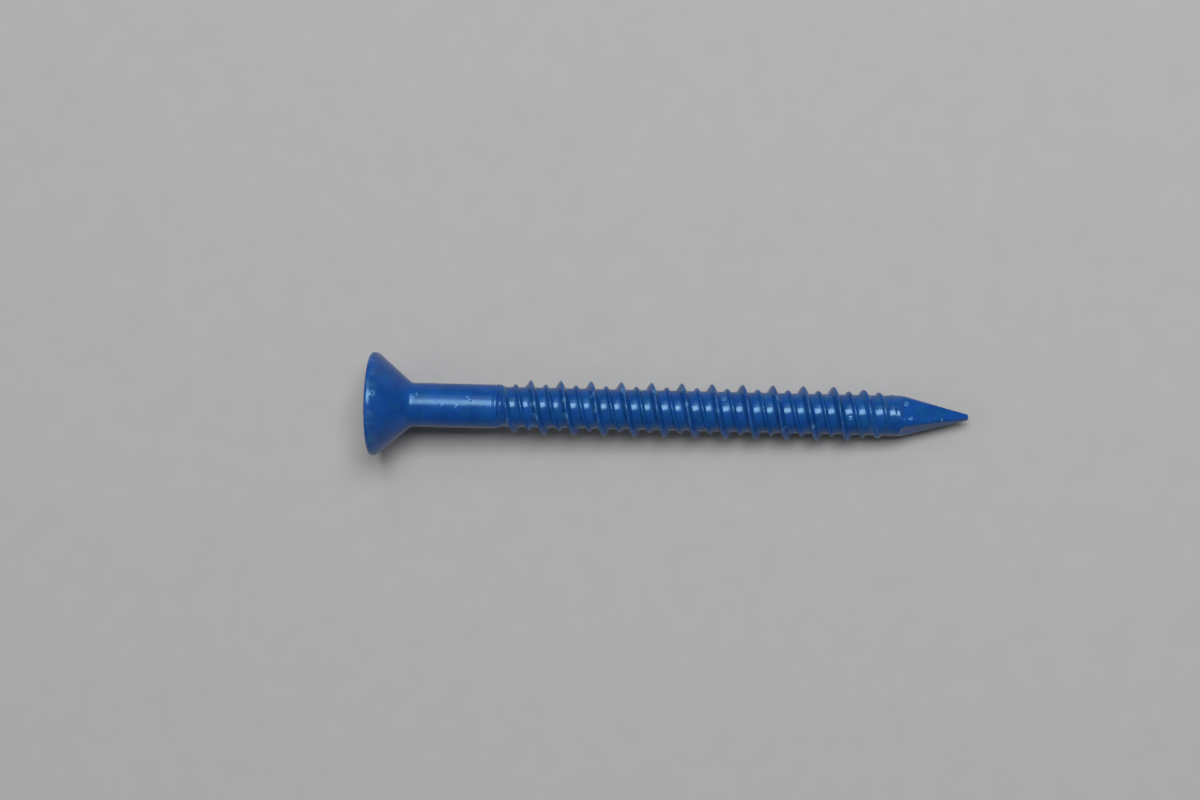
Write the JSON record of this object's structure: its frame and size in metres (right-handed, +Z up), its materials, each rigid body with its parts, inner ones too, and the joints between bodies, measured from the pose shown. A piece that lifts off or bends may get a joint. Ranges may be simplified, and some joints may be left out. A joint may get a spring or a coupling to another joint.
{
  "type": "countersunk masonry screw",
  "caption": "Blue-coated countersunk masonry screw with a cross recess, a plain shank under the head, a high and low right-hand thread and a pinched nail point.",
  "frame": {"origin": "centre of the head's flat face, on the screw's axis", "axes": "+X along the screw from the head's face to the tip; +Z up as the screw lies; +Y to the left of +X. The thread's angles are counted from +Y towards +Z."},
  "size_m": [0.0571, 0.01, 0.01],
  "materials": {
    "blue_coating": "semi-gloss blue corrosion coating over carbon steel"
  },
  "bodies": {
    "root": {"head": "blue_coating", "shank": "blue_coating", "thread_core": "blue_coating", "high_thread": "blue_coating", "low_thread": "blue_coating", "point": "blue_coating"}
  },
  "joints": []
}
